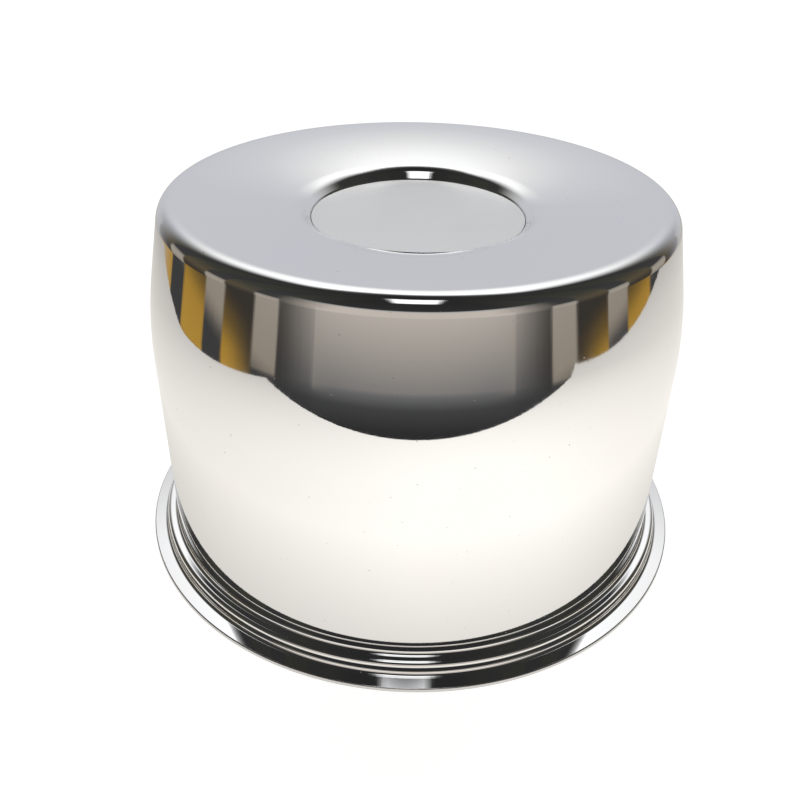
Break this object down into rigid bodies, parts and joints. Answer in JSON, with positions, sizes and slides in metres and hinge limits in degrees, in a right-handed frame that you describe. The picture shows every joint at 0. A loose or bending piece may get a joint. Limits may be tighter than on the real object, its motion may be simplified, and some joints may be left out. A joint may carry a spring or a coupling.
{
  "type": "wheel centre cap",
  "caption": "Closed round chromed cap that pushes through a wheel's centre bore, with a stepped retaining flange and a shallow top seat holding a blank disc.",
  "frame": {"origin": "centre of the flange's rear face, on the cap's axis; the cap stands on it with its closed end up", "axes": "+Z along the cap's axis, from the open end to the closed end; X and Y are any two square directions, because the cap is round"},
  "size_m": [0.1388, 0.1388, 0.0869],
  "materials": {
    "chrome": "mirror-polished chrome plate on a deep-drawn steel sheet",
    "disc_metal": "satin blank face inside a low rim, no lettering",
    "adhesive": "thin closed-cell foam with adhesive on both faces"
  },
  "bodies": {
    "root": {"cap_shell": "chrome", "emblem_disc": "disc_metal", "adhesive_pad": "adhesive"}
  },
  "joints": []
}
